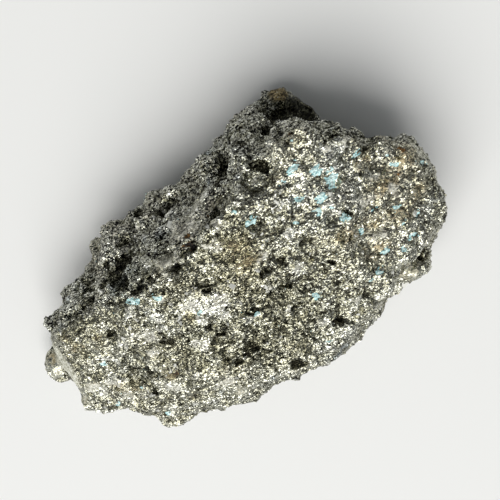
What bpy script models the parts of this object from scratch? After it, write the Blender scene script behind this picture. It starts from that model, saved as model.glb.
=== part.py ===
"""A hand-sized specimen of massive granular pyrite, lying on its flattest broken side.

The stone is one solid. It starts as a slab with the stone's plan outline. Breaks cut the slab to
its main faces, hollows and ledges are taken out of it, and knobs are joined to it. Its skin is
then roughened into lumps, bedding ridges and flat facets, the largest crystals are fused on, and
the stone is cut flat where it rests.

Lengths are in millimetres until the mesh is made. +X runs along the stone and +Z is up. The
origin is in the middle of the stone's box, at the surface that it lies on.
"""

import math
import random

import bmesh
import bpy
from mathutils import Euler, Matrix, Vector, noise
from mathutils.bvhtree import BVHTree

MM = 0.001

# Plan outline at the stone's widest level, clockwise from its left tip.
OUTLINE = (
    (-51.2, -2.0), (-48.2, -0.5), (-45.5, 3.0), (-43.0, 5.5), (-42.0, 7.5), (-39.5, 9.0),
    (-36.5, 11.0), (-33.0, 13.0), (-31.0, 15.0), (-26.5, 17.0), (-22.5, 17.5), (-19.0, 19.0),
    (-11.0, 20.0), (-8.0, 21.5), (-3.5, 21.5), (0.5, 23.0), (5.0, 25.5), (8.5, 26.5),
    (11.0, 28.5), (14.0, 29.0), (18.5, 27.5), (21.0, 30.0), (23.5, 28.0), (25.0, 25.0),
    (25.5, 20.5), (27.0, 17.0), (29.0, 14.5), (34.4, 12.2), (40.0, 10.6), (40.8, 7.0),
    (41.0, 3.0), (40.0, -2.5), (39.5, -7.0), (38.5, -10.0), (35.5, -12.0), (34.5, -16.0),
    (32.5, -18.5), (25.5, -19.5), (22.0, -18.5), (21.5, -21.5), (18.0, -22.0), (13.5, -25.0),
    (10.5, -25.0), (2.0, -24.0), (-6.0, -23.8), (-11.5, -26.5), (-14.5, -25.5), (-17.0, -26.5),
    (-19.5, -25.0), (-24.0, -24.5), (-28.0, -26.5), (-31.0, -26.0), (-33.5, -23.5),
    (-34.5, -19.0), (-37.0, -16.5), (-42.5, -16.5), (-47.8, -14.2), (-49.5, -10.5),
    (-51.5, -5.0),
)  # fmt: skip
SLAB_TOP = 34.0
SLAB_BOTTOM = -0.5

# Broken faces. Each is a point on the face and the direction that it looks in.
BREAKS = {
    "broad face, middle": ((0.0, 14.0, 28.0), (0.02, -0.27, 1.0)),
    "broad face, right": ((17.0, 0.0, 23.6), (0.26, -0.20, 1.0)),
    "broad face, left": ((-18.0, 0.0, 23.4), (-0.42, -0.22, 1.0)),
    "front left shoulder": ((-24.0, -14.0, 18.2), (-0.30, -0.62, 1.0)),
    "front shoulder": ((0.0, -21.5, 18.0), (0.05, -0.95, 0.75)),
    "front right shoulder": ((25.0, -14.0, 16.0), (0.45, -0.80, 0.70)),
    "right end": ((38.0, 4.0, 17.0), (0.95, 0.10, 0.45)),
    "left end": ((-43.4, -2.8, 11.0), (-1.0, 0.0, 0.78)),
    "shaded side, middle": ((0.0, 15.6, 27.0), (-0.30, 0.87, 0.48)),
    "shaded side, left": ((-28.0, 8.0, 19.5), (-0.42, 0.74, 0.55)),
    "shaded side, right": ((16.0, 23.6, 25.0), (-0.05, 0.95, 0.42)),
    "underside, left": ((-27.0, 0.0, 0.0), (-0.13, 0.02, -1.0)),
    "underside, right": ((20.0, 0.0, 0.0), (0.15, -0.03, -1.0)),
    "underside, back": ((0.0, 11.0, 0.0), (0.03, 0.17, -1.0)),
    "underside, front": ((0.0, -12.0, 0.0), (-0.02, -0.16, -1.0)),
}

# Ledges are cut down to a level: the level, its slope, and the plan of what is cut away.
LEDGES = {
    "foot below the brow": (
        7.0, (0.10, -0.15),
        (
            (15.4, 24.6), (18.7, 23.8), (22.0, 21.9), (24.2, 18.9), (29.0, 21.0), (27.0, 33.0),
            (15.0, 33.0),
        ),
    ),
    "toe at the left end": (
        5.0, (-0.15, 0.10),
        ((-55.0, -10.0), (-48.4, -9.4), (-48.0, 3.4), (-52.0, 6.0)),
    ),
    "step behind the lower right block": (
        12.5, (0.30, -0.25),
        ((20.0, -24.0), (21.5, -15.0), (29.5, -11.2), (33.0, -10.2), (40.0, -18.0)),
    ),
}  # fmt: skip

# Hollows and knobs: centre, half sizes, and turn about +Z in degrees.
HOLLOWS = {
    "cave in the shaded side": ((-8.8, 17.6, 16.0), (3.0, 1.8, 2.8), 18.0),
    "valley beside the cave": ((-14.6, 18.4, 13.0), (2.0, 5.0, 5.0), -20.0),
    "long hollow in the shaded side": ((-26.0, 12.2, 20.4), (8.0, 2.4, 4.4), 14.0),
    "recess under the knuckle": ((-5.6, 11.4, 25.4), (3.4, 1.1, 2.6), 18.0),
    "valley in the shaded side": ((5.8, 22.0, 19.0), (1.4, 5.4, 5.0), -24.0),
    "dip on the crest": ((10.8, 18.2, 27.6), (4.6, 1.8, 3.0), 20.0),
    "hollow beside the crest": ((2.6, 16.4, 25.6), (3.6, 1.4, 2.8), 28.0),
    "gap beside the brow": ((15.8, 25.6, 20.0), (1.6, 3.6, 5.0), -10.0),
    "open vug": ((-29.6, 0.6, 19.4), (1.5, 1.2, 2.6), 0.0),
    "pit in the bright band": ((-17.1, -5.6, 21.2), (1.9, 1.2, 2.0), 10.0),
    "broken corner pit": ((-30.2, -10.0, 15.8), (2.4, 1.8, 2.4), 30.0),
    "slot along the bedding": ((0.4, -0.2, 24.2), (2.6, 0.8, 2.2), 4.0),
    "second slot": ((10.2, -5.8, 22.4), (2.2, 0.8, 2.0), 8.0),
    "third slot": ((-5.6, -8.4, 20.8), (2.4, 0.9, 2.0), 6.0),
    "cleft by the right block": ((34.4, -9.6, 14.0), (5.4, 0.9, 5.0), -6.0),
    "slot above the right block": ((23.6, -8.6, 19.0), (3.4, 0.9, 2.2), -8.0),
}
KNOBS = {
    "left lump on the shaded side": ((-21.4, 14.4, 12.0), (6.2, 3.8, 5.0), 25.0),
    "end lump on the shaded side": ((-33.0, 9.0, 10.0), (5.4, 3.0, 4.8), 30.0),
    "knuckle": ((-6.0, 14.6, 21.6), (4.6, 2.8, 3.8), 22.0),
    "lump below the cave": ((-10.0, 18.8, 9.0), (4.6, 2.8, 5.0), 12.0),
    "grey ledge": ((-2.4, 17.6, 15.4), (6.6, 1.7, 3.0), 22.0),
    "dark lump": ((2.4, 19.4, 16.0), (3.8, 3.2, 4.4), 25.0),
    "big lump at the brow": ((12.4, 24.8, 12.0), (4.0, 3.2, 8.0), 15.0),
    "toe": ((-50.4, -4.4, 3.4), (4.6, 5.2, 3.8), 6.0),
    "lump beside the brow": ((9.4, 21.2, 21.6), (4.0, 2.6, 4.6), 20.0),
    "brow": ((18.0, 18.2, 22.0), (5.8, 2.8, 3.2), -25.0),
    "peak": ((20.4, 28.2, 5.0), (3.2, 2.8, 5.0), 0.0),
    "rim of the foot": ((24.9, 23.4, 4.4), (1.8, 5.6, 4.4), 28.0),
    "corner block": ((-43.4, -13.0, 5.0), (4.6, 3.4, 5.4), -12.0),
    "front lobe": ((-28.8, -23.0, 6.0), (4.8, 4.4, 6.0), 0.0),
    "sugary lump": ((-18.4, -22.6, 9.0), (5.0, 4.0, 5.4), 0.0),
    "lower right block": ((29.0, -14.6, 8.6), (5.8, 4.2, 5.6), 20.0),
}

# How much the surface of each hollow and knob departs from an ellipsoid, as a share of its size.
BOULDER_ROUGHNESS = 0.12

# The side walls lean in below the widest level, by up to this share of the way to the middle.
UNDERCUT = 0.16
# The widest level rises from the left end to the right one: where along X, and how high.
WIDEST_SPAN = (-20.0, 25.0)
WIDEST_LEVELS = (10.0, 19.0)

SKIN_GRID = 0.85
# The outline was read along the low places between crystals, so the skin is raised to their middle.
SKIN_RAISE = 0.3
# Relief of the skin: how high each kind stands, and the distance at which it repeats.
LUMP_HEIGHT = 1.1
LUMP_PITCH = 9.0
# Bedding ridges run along X, so they repeat slowly that way.
RIDGE_HEIGHT = 0.38
RIDGE_PITCH = (16.0, 3.6, 3.0)
RIDGE_MEAN = 1.2
# Flat facets: how much each one tilts, and how far it steps up or down from its neighbours.
FACET_PITCH = 3.4
FACET_TILT = 1.5
FACET_STEP = 0.42
# Smooth cleavage faces, which the relief spares and no crystal grows on: centre and half sizes.
SMOOTH_FACES = {
    "pale face at the left end": ((-43.8, -2.8, 9.8), (3.6, 6.6, 4.4)),
    "dark face below the brow": ((22.0, 23.0, 7.6), (4.2, 3.0, 3.0)),
    "brown face on the peak": ((20.6, 27.6, 8.2), (4.0, 3.6, 4.6)),
}
SMOOTH_SHARE = 0.1
# The relief is this much higher where the skin looks back, and this much lower where it looks down.
RUGGED_BACK = 0.7
CALM_BELOW = 0.45

# The largest crystals, and how the skin with them on it is made one surface.
CRYSTAL_COUNT = 260
CRYSTAL_SIZE = (1.7, 3.5)
CRYSTAL_SINK = 0.6
CRYSTAL_TILT = 0.7
CRYSTAL_GAP = 2.6
CRYSTAL_LOWEST = 2.5
CRYSTAL_SEED = 11
# Places are drawn in this box along X, Y and Z, so many times at most.
CRYSTAL_BOX = ((-52.0, 42.0), (-28.0, 30.0), (0.0, 32.0))
CRYSTAL_TRIES = 4000
# A crystal's length and height as shares of its width.
CRYSTAL_LENGTH = (0.8, 1.25)
CRYSTAL_HEIGHT = (0.65, 0.95)
# How many corners a crystal has lost, and how far from its middle they are cut.
CORNERS_CUT = 3
CORNER_CUT_AT = (0.55, 0.68)
FUSED_GRID = 0.5
KEPT_FACES = 0.074

PYRITE_COLOUR = (0.42, 0.39, 0.29, 1.0)
PYRITE_ROUGHNESS = 0.38


def clear_scene():
    for thing in list(bpy.data.objects):
        bpy.data.objects.remove(thing)


def new_object(name, bm):
    """The bmesh as an object of the scene."""
    mesh = bpy.data.meshes.new(name)
    bm.to_mesh(mesh)
    bm.free()
    thing = bpy.data.objects.new(name, mesh)
    bpy.context.scene.collection.objects.link(thing)
    return thing


def helper(name, bm):
    """A cutter or a blank, which is not part of the stone."""
    thing = new_object(name, bm)
    thing.hide_render = True
    thing.display_type = "WIRE"
    return thing


def evaluated_mesh(thing):
    """A copy of the object's mesh with its modifiers applied."""
    bpy.context.view_layer.update()
    graph = bpy.context.evaluated_depsgraph_get()
    return bpy.data.meshes.new_from_object(thing.evaluated_get(graph))


def column(plan, bottom, top, slope=(0.0, 0.0)):
    """An upright prism over a plan. Its bottom leans by slope, a rise for each millimetre of X and Y."""
    bm = bmesh.new()
    middle = sum((Vector(point) for point in plan), Vector((0.0, 0.0))) / len(plan)
    foot = [
        bm.verts.new((x, y, bottom + slope[0] * (x - middle.x) + slope[1] * (y - middle.y)))
        for x, y in plan
    ]
    face = bm.faces.new(foot)
    raised = bmesh.ops.extrude_face_region(bm, geom=[face])["geom"]
    for vert in raised:
        if isinstance(vert, bmesh.types.BMVert):
            vert.co.z = top
    bmesh.ops.recalc_face_normals(bm, faces=bm.faces)
    return bm


def break_off(bm, point, looks):
    """Cuts away all that lies in front of a plane and closes the cut."""
    everything = bm.verts[:] + bm.edges[:] + bm.faces[:]
    cut = bmesh.ops.bisect_plane(
        bm, geom=everything, plane_co=point, plane_no=Vector(looks).normalized(), clear_outer=True
    )["geom_cut"]
    edges = [part for part in cut if isinstance(part, bmesh.types.BMEdge)]
    bmesh.ops.holes_fill(bm, edges=edges)


def boulder(bm, centre, half_sizes, turn):
    """A rounded, slightly angular lump in bm."""
    made = bmesh.ops.create_icosphere(bm, subdivisions=2, radius=1.0)["verts"]
    for vert in made:
        vert.co *= 1.0 + BOULDER_ROUGHNESS * noise.noise(vert.co * 1.7 + Vector(centre))
    place = Matrix.Translation(centre) @ Matrix.Rotation(math.radians(turn), 4, "Z")
    bmesh.ops.transform(bm, matrix=place @ Matrix.Diagonal((*half_sizes, 1.0)), verts=made)


def in_fixed_order(mesh):
    """The mesh with its points on a fine grid and in a fixed order, which a Boolean doesn't keep."""
    places = [tuple(round(value, 3) for value in vert.co) for vert in mesh.vertices]
    order = sorted(range(len(places)), key=places.__getitem__)
    rank = {old: new for new, old in enumerate(order)}
    faces = []
    for polygon in mesh.polygons:
        corners = [rank[corner] for corner in polygon.vertices]
        first = corners.index(min(corners))
        faces.append(corners[first:] + corners[:first])
    fixed = bpy.data.meshes.new("fixed order")
    fixed.from_pydata([places[old] for old in order], [], sorted(faces))
    return fixed


def cut_out(bm, cutters):
    """The stone so far with each cutter taken out of it."""
    blank = helper("blank", bm)
    for name, cutter in cutters.items():
        modifier = blank.modifiers.new(name, "BOOLEAN")
        modifier.operation = "DIFFERENCE"
        modifier.object = helper(name, cutter)
        modifier.solver = "MANIFOLD"
    return in_fixed_order(evaluated_mesh(blank))


def bmesh_of(mesh):
    bm = bmesh.new()
    bm.from_mesh(mesh)
    return bm


def one_surface(name, bm, grid):
    """An object whose overlapping closed surfaces are made one, with even faces."""
    thing = helper(name, bm)
    remesh = thing.modifiers.new("one surface", "REMESH")
    remesh.mode = "VOXEL"
    remesh.voxel_size = grid
    return thing


def broken_slab():
    """The slab, broken to its main faces and cut down to its ledges."""
    bm = column(OUTLINE, SLAB_BOTTOM, SLAB_TOP)
    for point, looks in BREAKS.values():
        break_off(bm, point, looks)
    cutters = {}
    for name, (level, slope, plan) in LEDGES.items():
        cutters[name] = column(plan, level, SLAB_TOP + 6.0, slope)
    return cut_out(bm, cutters)


def with_knobs(mesh):
    bm = bmesh_of(mesh)
    for place in KNOBS.values():
        boulder(bm, *place)
    return evaluated_mesh(one_surface("slab and knobs", bm, SKIN_GRID))


def with_hollows(mesh):
    cutters = {}
    for name, place in HOLLOWS.items():
        cutters[name] = bmesh.new()
        boulder(cutters[name], *place)
    hollowed = bmesh_of(cut_out(bmesh_of(mesh), cutters))
    return evaluated_mesh(one_surface("hollowed", hollowed, SKIN_GRID))


def lean_in(point):
    """The point moved towards the stone's middle where it is below the widest level."""
    along = (point.x - WIDEST_SPAN[0]) / (WIDEST_SPAN[1] - WIDEST_SPAN[0])
    along = min(1.0, max(0.0, along))
    widest = WIDEST_LEVELS[0] + along * (WIDEST_LEVELS[1] - WIDEST_LEVELS[0])
    depth = max(0.0, widest - point.z) / widest
    share = 1.0 - UNDERCUT * depth**1.5
    return Vector((point.x * share, point.y * share, point.z))


def facets(point):
    """Height of flat faces, each tilted its own way, that meet in sharp edges."""
    place = point / FACET_PITCH
    seed = noise.voronoi(place)[1][0]
    lean = (noise.cell_vector(seed * 37.0) - Vector((0.5, 0.5, 0.5))) * FACET_TILT
    return (place - seed).dot(lean) + FACET_STEP * noise.noise(seed * 3.1)


def on_smooth_face(point):
    for centre, half_sizes in SMOOTH_FACES.values():
        if sum(((point[i] - centre[i]) / half_sizes[i]) ** 2 for i in range(3)) < 1.0:
            return True
    return False


def relief(point):
    """How far the skin stands out at a point."""
    lumps = noise.fractal(point / LUMP_PITCH, 0.9, 2.1, 3)
    stretched = Vector(value / pitch for value, pitch in zip(point, RIDGE_PITCH))
    ridges = noise.ridged_multi_fractal(stretched, 0.9, 2.0, 2, 1.0, 2.0) - RIDGE_MEAN
    return SKIN_RAISE + LUMP_HEIGHT * lumps + RIDGE_HEIGHT * ridges + facets(point)


def roughen(mesh):
    """Moves each point of the skin along its normal, most on the back and least under the stone."""
    moved = []
    for vert in mesh.vertices:
        share = 1.0 + RUGGED_BACK * max(0.0, vert.normal.y)
        if vert.normal.z < -0.8:
            share = CALM_BELOW
        if on_smooth_face(vert.co):
            share = SMOOTH_SHARE
        moved.append(lean_in(vert.co + vert.normal * (relief(vert.co) * share)))
    for vert, place in zip(mesh.vertices, moved):
        vert.co = place


def crystal_places(mesh):
    """Well spaced places for the largest crystals, each with the skin's normal and its own draw.

    A place is the nearest point of the skin to a point drawn in a box round the stone.
    """
    bm = bmesh_of(mesh)
    tree = BVHTree.FromBMesh(bm)
    bm.free()
    places = []
    for number in range(CRYSTAL_TRIES):
        draw = random.Random(CRYSTAL_SEED + number)
        drawn = Vector(draw.uniform(*ends) for ends in CRYSTAL_BOX)
        place, normal, _, _ = tree.find_nearest(drawn)
        if place.z < CRYSTAL_LOWEST or len(places) == CRYSTAL_COUNT or on_smooth_face(place):
            continue
        if all((place - other).length > CRYSTAL_GAP for other, _, _ in places):
            places.append((place, normal, draw))
    return places


def grow_crystal(bm, centre, normal, draw):
    """One blocky crystal with some corners missing, partly sunk in the skin and turned its own way."""
    size = draw.uniform(*CRYSTAL_SIZE)
    sides = (size * draw.uniform(*CRYSTAL_LENGTH), size, size * draw.uniform(*CRYSTAL_HEIGHT))
    turn = draw.uniform(0.0, math.pi)
    made = bmesh.new()
    bmesh.ops.create_cube(made, size=1.0)
    for _ in range(CORNERS_CUT):
        corner = Vector([draw.choice((-1.0, 1.0)) * draw.uniform(0.4, 1.0) for _ in range(3)])
        break_off(made, corner.normalized() * draw.uniform(*CORNER_CUT_AT), corner)
    tilt = Euler((*(draw.uniform(-CRYSTAL_TILT, CRYSTAL_TILT) for _ in range(2)), turn))
    facing = normal.to_track_quat("Z", "Y").to_matrix().to_4x4() @ tilt.to_matrix().to_4x4()
    place = Matrix.Translation(centre - normal * (size * CRYSTAL_SINK))
    made.transform(place @ facing @ Matrix.Diagonal((*sides, 1.0)))
    mesh = bpy.data.meshes.new("crystal")
    made.to_mesh(mesh)
    made.free()
    bm.from_mesh(mesh)
    bpy.data.meshes.remove(mesh)


def fused(mesh):
    """The skin and its largest crystals made one surface, with fewer and larger faces."""
    bm = bmesh_of(mesh)
    for place in crystal_places(mesh):
        grow_crystal(bm, *place)
    thing = one_surface("skin and crystals", bm, FUSED_GRID)
    fewer = thing.modifiers.new("fewer faces", "DECIMATE")
    fewer.ratio = KEPT_FACES
    fewer.use_collapse_triangulate = True
    return evaluated_mesh(thing)


def drop_loose_bits(bm):
    """Leaves only the largest connected surface, so that no crumb or closed bubble stays."""
    left = set(bm.verts)
    largest = set()
    while left:
        found = {left.pop()}
        newest = list(found)
        while newest:
            near = {vert for edge in newest.pop().link_edges for vert in edge.verts}
            newest.extend(near - found)
            found |= near
        left -= found
        if len(found) > len(largest):
            largest = found
    bmesh.ops.delete(bm, geom=[vert for vert in bm.verts if vert not in largest], context="VERTS")


def cut_flat(mesh):
    """Cuts the stone off at the surface that it lies on."""
    bm = bmesh_of(mesh)
    break_off(bm, (0.0, 0.0, 0.0), (0.0, 0.0, -1.0))
    drop_loose_bits(bm)
    bmesh.ops.triangulate(bm, faces=bm.faces)
    bmesh.ops.recalc_face_normals(bm, faces=bm.faces)
    cut = bpy.data.meshes.new("cut flat")
    bm.to_mesh(cut)
    bm.free()
    return cut


def pyrite():
    material = bpy.data.materials.new("massive pyrite")
    material.use_nodes = True
    shader = material.node_tree.nodes["Principled BSDF"]
    shader.inputs["Base Color"].default_value = PYRITE_COLOUR
    shader.inputs["Metallic"].default_value = 1.0
    shader.inputs["Roughness"].default_value = PYRITE_ROUGHNESS
    return material


def to_row_frame(mesh):
    """Puts the origin in the middle of the box, at the base, and turns millimetres into metres."""
    xs = [vert.co.x for vert in mesh.vertices]
    ys = [vert.co.y for vert in mesh.vertices]
    lowest = min(vert.co.z for vert in mesh.vertices)
    middle = Vector(((min(xs) + max(xs)) / 2, (min(ys) + max(ys)) / 2, lowest))
    mesh.transform(Matrix.Scale(MM, 4) @ Matrix.Translation(-middle))


def specimen():
    skin = with_hollows(with_knobs(broken_slab()))
    roughen(skin)
    mesh = cut_flat(fused(skin))
    to_row_frame(mesh)
    stone = bpy.data.objects.new("pyrite_mass", mesh)
    bpy.context.scene.collection.objects.link(stone)
    stone.data.materials.clear()
    stone.data.materials.append(pyrite())


clear_scene()
specimen()
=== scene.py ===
"""Looks of a hand specimen of massive granular pyrite.

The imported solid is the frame. A finer skin stands for it, and thousands of crystals are grown on that
skin: grains of pyrite, grains of quartz and large crystals, each kind as one joined mesh. Lengths are
in metres, and the constants in millimetres say so. +X runs along the stone, +Y towards its rugged
back and +Z up.
"""

import math

import bmesh
import bpy
import numpy as np
from bpy.props import FloatProperty, FloatVectorProperty, IntProperty, PointerProperty
from mathutils import Matrix, Vector, noise
from mathutils.bvhtree import BVHTree


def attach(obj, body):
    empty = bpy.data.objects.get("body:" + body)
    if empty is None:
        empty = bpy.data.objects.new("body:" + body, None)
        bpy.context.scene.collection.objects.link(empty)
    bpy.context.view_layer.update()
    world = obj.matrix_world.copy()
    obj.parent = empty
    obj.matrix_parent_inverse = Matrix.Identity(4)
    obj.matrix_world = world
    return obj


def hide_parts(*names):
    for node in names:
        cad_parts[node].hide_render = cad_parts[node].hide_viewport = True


bl_info = {
    "name": "Pyrite Specimen",
    "version": (1, 0, 0),
    "blender": (4, 5, 0),
    "location": "3D View > Sidebar > Specimen",
    "description": "Grows the skin, grains and crystals of a massive pyrite specimen on its solid",
    "category": "Add Mesh",
}

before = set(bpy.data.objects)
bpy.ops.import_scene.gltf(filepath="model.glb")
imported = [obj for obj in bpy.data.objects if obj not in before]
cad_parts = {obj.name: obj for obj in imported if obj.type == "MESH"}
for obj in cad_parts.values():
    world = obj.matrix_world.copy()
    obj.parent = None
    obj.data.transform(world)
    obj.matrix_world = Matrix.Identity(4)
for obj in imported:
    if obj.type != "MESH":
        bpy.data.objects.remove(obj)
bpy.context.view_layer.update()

MM = 0.001
NODE = "pyrite_mass"
BODY = "root"
# The skin is made in pieces: below SKIN_PARTED, in millimetres, and above it on either side of x = 0.
SKINS = ("lower_skin", "left_skin", "right_skin")
SKIN_PARTED = 7.5
# How the stone looks from point to point, as attributes: what the pyrite's material reads and, with
# the pits, what the skin keeps for the crystals that grow on it.
LOOKS = ("tone", "dull", "warm", "rust", "blue", "broken")
SKIN_LOOKS = (*LOOKS, "pit")
# No piece reaches lower than this, in millimetres.
FLOOR_GAP = 0.02

# Smooth cleavage faces, where little grows: centre and half sizes, in millimetres.
PALE_FACE = ((-38.9, -4.1, 9.8), (3.0, 6.6, 4.4))
# The dark face lies behind the brow, and the brow's shadow is painted on it: darker and matt.
BROW_SHADOW_FACE = ((27.2, 21.7, 7.6), (5.2, 3.6, 3.6))
BROWN_FACE = ((25.2, 27.4, 8.4), (3.6, 3.2, 4.2))

# Marks as the photograph shows them: place in its 500 by 500 pixels, from its left and top edges,
# and radius, in pixels too. A pixel is PIXEL wide on the stone.
PIXEL = 0.21 * MM
# The edge between the bright broken face and the dull back, from left to right.
RIDGE_X = (40, 52, 104, 130, 158, 188, 202, 216, 223, 237, 257, 275, 296, 319, 341, 368, 390)
RIDGE_Y = (345, 333, 308, 306, 294, 262, 240, 222, 202, 184, 165, 142, 128, 133, 139, 142, 141)
# Fresh bright crystal with painted highlight: its metal is brighter, and part of it lies under a white
# matt film that stands in for its glints.
FRESH_HIGHLIGHT_MARKS = (
    (190, 307, 11), (220, 303, 13), (146, 336, 10), (175, 390, 10), (225, 385, 12), (94, 388, 10),
    (104, 392, 7), (250, 182, 6), (264, 258, 7), (380, 298, 6), (210, 247, 9), (122, 252, 5),
    (172, 232, 11), (186, 228, 12), (330, 150, 9), (205, 318, 8), (250, 318, 8), (120, 345, 7),
    (345, 145, 10), (290, 310, 6), (160, 300, 6), (300, 268, 8), (150, 352, 8), (376, 175, 7),
    (330, 205, 8), (287, 235, 8), (380, 235, 6), (60, 352, 5), (130, 310, 6), (270, 290, 8),
    (200, 345, 9), (325, 325, 6), (225, 315, 8), (160, 330, 7), (78, 384, 5), (355, 300, 6),
    (130, 318, 6), (118, 362, 6), (95, 300, 4), (70, 292, 4),
    (112, 382, 9), (127, 396, 8), (110, 360, 8), (155, 318, 8), (395, 190, 7), (365, 205, 7),
    (215, 225, 7), (235, 205, 7),
)  # fmt: skip
# Tan and olive stains.
TAN_MARKS = (
    (402, 162, 16), (416, 150, 9), (400, 215, 13), (420, 190, 10), (375, 225, 10), (365, 160, 8),
    (62, 340, 8), (75, 348, 8), (115, 385, 12),
    (236, 250, 13), (248, 262, 11), (380, 250, 13), (345, 235, 12), (195, 395, 8),
    (280, 98, 7), (215, 205, 7), (385, 185, 13), (52, 360, 5), (275, 180, 6), (170, 375, 7),
    (135, 390, 9), (190, 318, 5), (96, 340, 5),
)  # fmt: skip
# Pits, recesses and the low face behind the brow: sunk, and painted darker as painted shade.
PIT_SHADE_MARKS = (
    (165, 212, 7), (115, 272, 12), (158, 240, 6), (190, 245, 7), (112, 334, 5), (184, 340, 5),
    (134, 370, 8), (252, 350, 8), (240, 362, 6), (300, 365, 8), (220, 335, 4), (252, 312, 5),
    (265, 272, 5), (422, 252, 8), (362, 147, 4), (260, 166, 8), (327, 137, 5), (137, 290, 9),
    (350, 242, 5), (272, 295, 4), (310, 287, 4), (340, 320, 6), (362, 327, 7), (235, 118, 6),
    (218, 178, 7), (90, 300, 6), (240, 140, 6), (300, 108, 9), (402, 210, 5), (330, 262, 4),
    (205, 290, 5), (97, 287, 6), (125, 262, 10), (140, 278, 6), (100, 282, 8), (165, 345, 6),
    (148, 372, 5), (225, 308, 3), (290, 131, 2), (152, 395, 4), (175, 268, 6), (350, 214, 4),
    (366, 150, 5), (86, 374, 4), (104, 265, 5), (290, 108, 12), (305, 117, 9), (120, 282, 10),
    (150, 278, 8), (228, 160, 6), (95, 270, 7), (238, 128, 6),
)  # fmt: skip
# Broad areas painted darker than the rest: painted shade on the right wall, along the upper edge and
# under the brow, and elsewhere simply darker.
PAINTED_SHADE_AND_DIM_MARKS = (
    (300, 285, 38), (340, 300, 34), (290, 330, 34), (330, 250, 30), (400, 245, 12), (410, 274, 14),
    (150, 290, 22), (120, 298, 18), (80, 335, 12), (175, 348, 22), (434, 180, 10), (434, 220, 8),
    (292, 108, 22), (205, 242, 16), (85, 378, 9), (285, 225, 12),
    (330, 122, 14), (365, 132, 12), (395, 128, 10), (100, 345, 14), (350, 250, 24),
    (315, 128, 14), (340, 138, 14), (437, 200, 10), (433, 250, 9), (429, 150, 8), (60, 310, 10),
)  # fmt: skip
# Broad areas painted brighter than the rest, as painted light.
PAINTED_LIGHT_MARKS = (
    (110, 372, 16), (120, 395, 12), (165, 385, 14), (45, 362, 8), (325, 345, 14), (280, 375, 14),
    (215, 402, 14), (350, 335, 10), (200, 305, 16), (315, 168, 20), (345, 185, 24), (300, 200, 18),
    (380, 190, 28), (400, 240, 24), (360, 235, 24), (390, 165, 20),
    (165, 222, 26), (250, 190, 14), (110, 240, 18), (250, 390, 18), (60, 360, 12), (300, 365, 14),
    (205, 190, 16), (255, 145, 12), (165, 230, 14), (190, 216, 14), (213, 206, 14), (236, 194, 14),
    (256, 184, 10), (108, 385, 14), (100, 255, 14), (240, 378, 14),
    (200, 378, 12), (290, 345, 12), (140, 398, 12), (190, 405, 10), (320, 352, 10),
)  # fmt: skip
# Rust.
RUST_MARKS = (
    (186, 247, 5), (207, 213, 3), (287, 99, 4), (405, 148, 4), (398, 176, 3), (190, 238, 4),
    (176, 374, 3), (290, 132, 2),
)  # fmt: skip
# Smoother blocks and chips.
PLAIN_MARKS = (
    (408, 275, 12), (240, 392, 8), (56, 358, 12), (66, 370, 9), (58, 373, 9), (76, 382, 5), (197, 203, 9),
    (92, 385, 7), (110, 350, 5), (152, 357, 5), (95, 348, 5), (85, 400, 8), (52, 361, 7),
    (142, 260, 4), (165, 262, 8),
)  # fmt: skip
# Patches of pale blue crust.
BLUE_MARKS = (
    (130, 304, 3.3), (137, 304, 2.4), (156, 300, 2.9), (234, 215, 3.3), (250, 223, 3.8),
    (292, 170, 3.8), (283, 183, 1.9), (316, 172, 4.8), (331, 172, 3.3), (333, 181, 5.2),
    (321, 197, 4.3), (358, 153, 3.8), (317, 211, 3.3), (300, 199, 2.9), (297, 224, 1.9),
    (333, 208, 1.9), (343, 217, 2.9), (376, 209, 2.9), (362, 231, 3.3), (396, 209, 3.3),
    (414, 235, 3.8), (405, 222, 2.4), (417, 215, 1.9), (387, 252, 4.3), (403, 249, 2.4),
    (379, 271, 2.4), (371, 280, 2.9), (317, 298, 4.3), (256, 314, 2.4), (201, 315, 2.4),
    (104, 364, 2.9), (117, 404, 2.4), (140, 387, 1.9), (167, 412, 3.3), (329, 340, 2.4),
    (393, 164, 2.4), (424, 162, 2.4), (388, 157, 1.9), (290, 142, 1.9), (224, 126, 1.5),
)  # fmt: skip


def linear(hex_colour):
    """The linear RGB of an sRGB hex colour."""
    channels = [int(hex_colour[i : i + 2], 16) / 255 for i in (1, 3, 5)]
    return tuple(c / 12.92 if c <= 0.04045 else ((c + 0.055) / 1.055) ** 2.4 for c in channels)


def add_node(tree, kind, inputs=(), stops=(), **settings):
    """Adds a node. inputs gives sockets a value or the output that feeds them, stops fill a ramp."""
    node = tree.nodes.new(kind)
    for name, value in settings.items():
        setattr(node, name, value)
    for socket, value in dict(inputs).items():
        if isinstance(value, bpy.types.NodeSocket):
            tree.links.new(value, node.inputs[socket])
        else:
            node.inputs[socket].default_value = value
    for index, (position, colour) in enumerate(stops):
        if index < 2:
            stop = node.color_ramp.elements[index]
            stop.position = position
        else:
            stop = node.color_ramp.elements.new(position)
        stop.color = (*colour, 1.0)
    return node


def length_property(name, description, default, lowest, highest):
    """A length that the user can change, given here in millimetres."""
    return FloatProperty(
        name=name, description=description, default=default * MM, min=lowest * MM,
        max=highest * MM, precision=5, subtype="DISTANCE",
    )


def colour_property(name, description, default):
    """A colour that the user can change, given here as an sRGB hex value."""
    return FloatVectorProperty(
        name=name, description=description, default=linear(default), size=3, min=0, max=1,
        subtype="COLOR",
    )


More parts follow.
